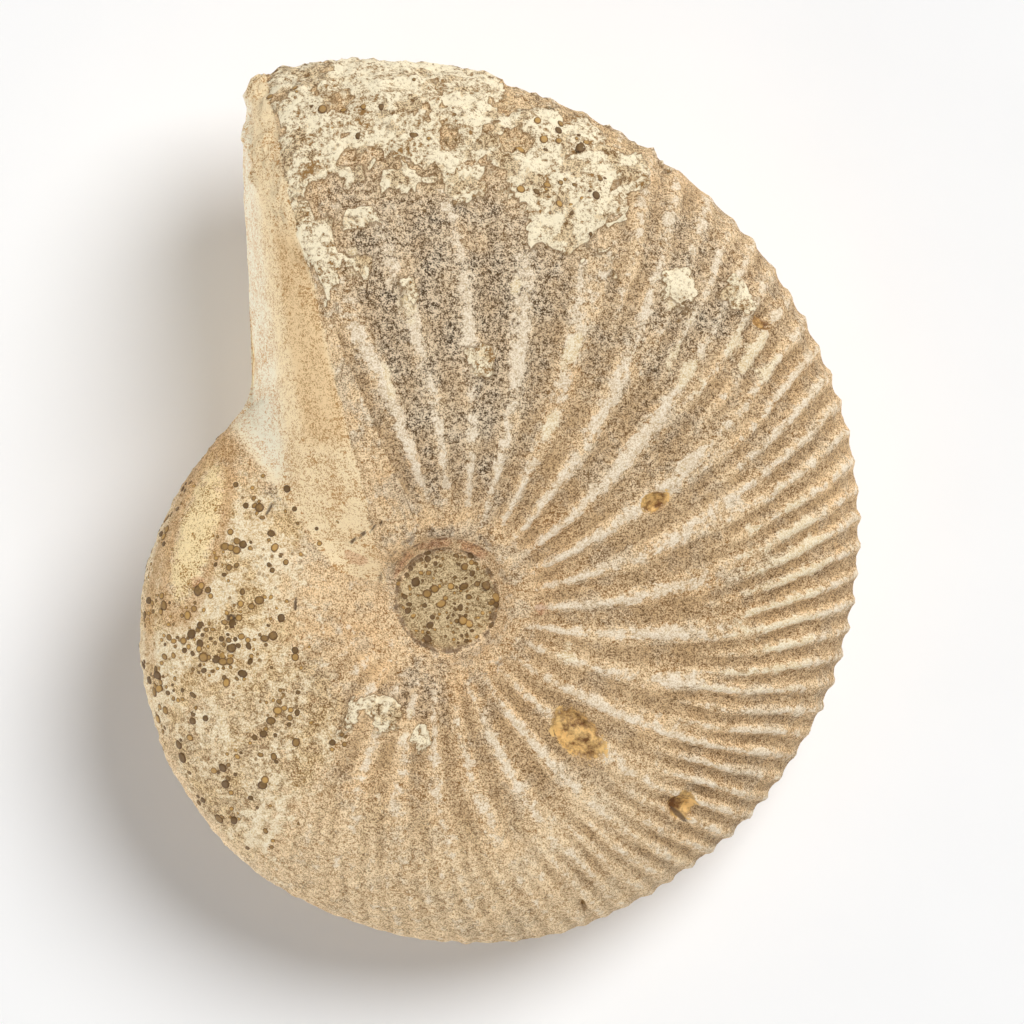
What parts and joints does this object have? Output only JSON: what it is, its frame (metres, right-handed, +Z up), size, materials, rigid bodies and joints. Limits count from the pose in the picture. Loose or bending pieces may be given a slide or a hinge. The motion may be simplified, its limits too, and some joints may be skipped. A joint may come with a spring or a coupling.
{
  "type": "ammonite fossil",
  "caption": "Tightly coiled, ribbed ammonite preserved as a solid stone cast, with a rock-filled navel and a broken mouth, lying on one worn flank.",
  "frame": {"origin": "middle of the bounding box in plan, on the surface that the fossil lies on", "axes": "+Z up, across the coil; +Y along the longest side, towards the end that carries the mouth, which faces -X"},
  "size_m": [0.0992, 0.121, 0.0488],
  "materials": {
    "limestone": "rough, weathered, dull"
  },
  "bodies": {
    "root": {"ammonite": "limestone"}
  },
  "joints": []
}
